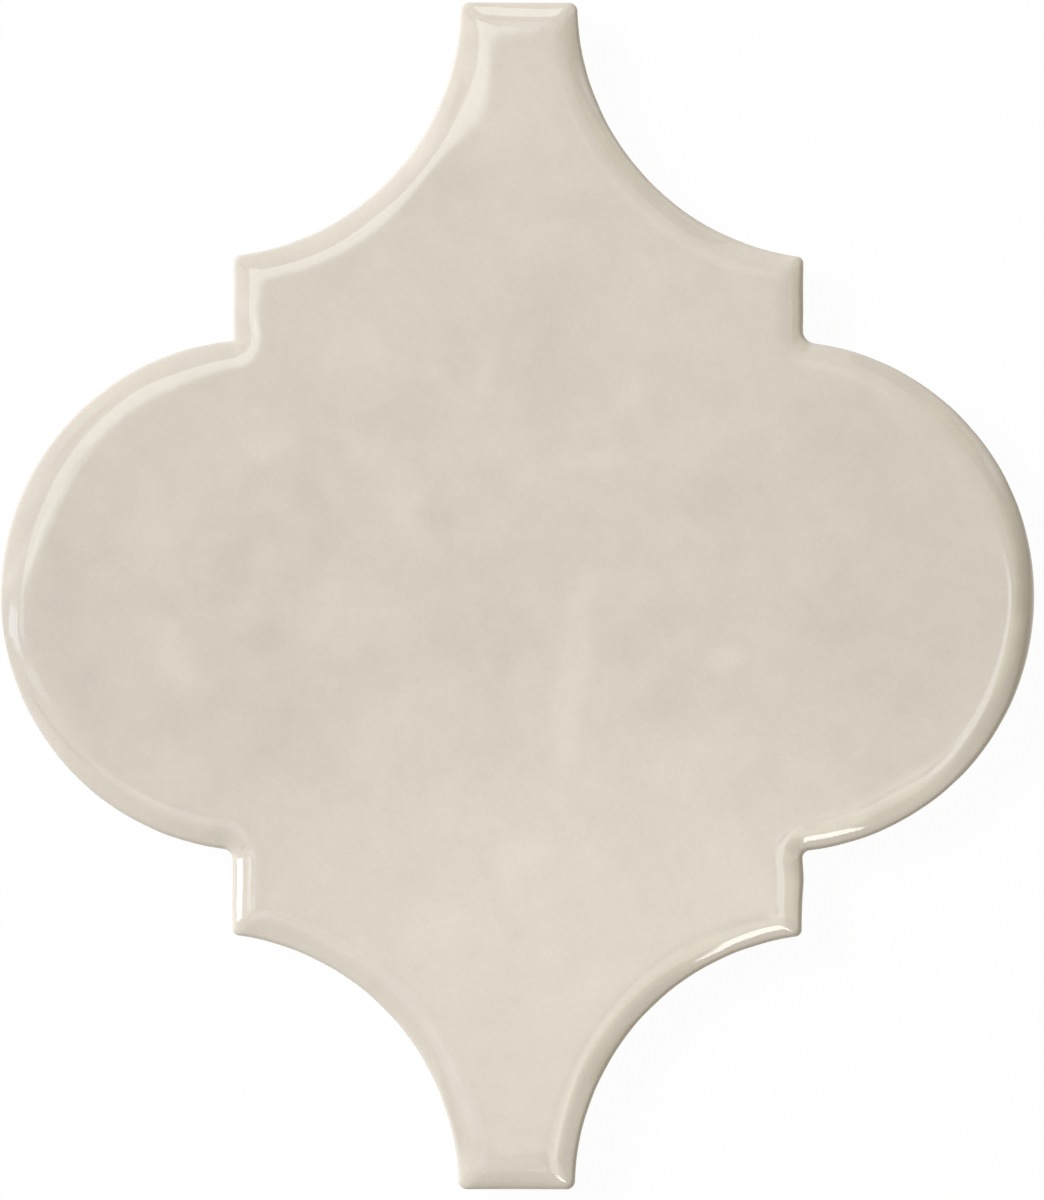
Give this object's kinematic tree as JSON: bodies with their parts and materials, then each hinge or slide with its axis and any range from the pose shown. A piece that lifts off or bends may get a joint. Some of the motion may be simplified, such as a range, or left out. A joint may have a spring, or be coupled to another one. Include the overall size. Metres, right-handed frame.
{
  "type": "arabesque tile",
  "caption": "Glazed ceramic wall tile of arabesque lantern outline: round side lobes, waisted necks with flat tips, a cushioned edge and a grooved back. It nests with its like.",
  "frame": {"origin": "middle of the back, in the plane that beds on the wall", "axes": "+X from lobe to lobe, +Y from neck to neck, +Z out of the glazed face"},
  "size_m": [0.15, 0.1722, 0.009],
  "materials": {
    "glaze": "gloss"
  },
  "bodies": {
    "root": {"arabesque_tile": "glaze"}
  },
  "joints": []
}
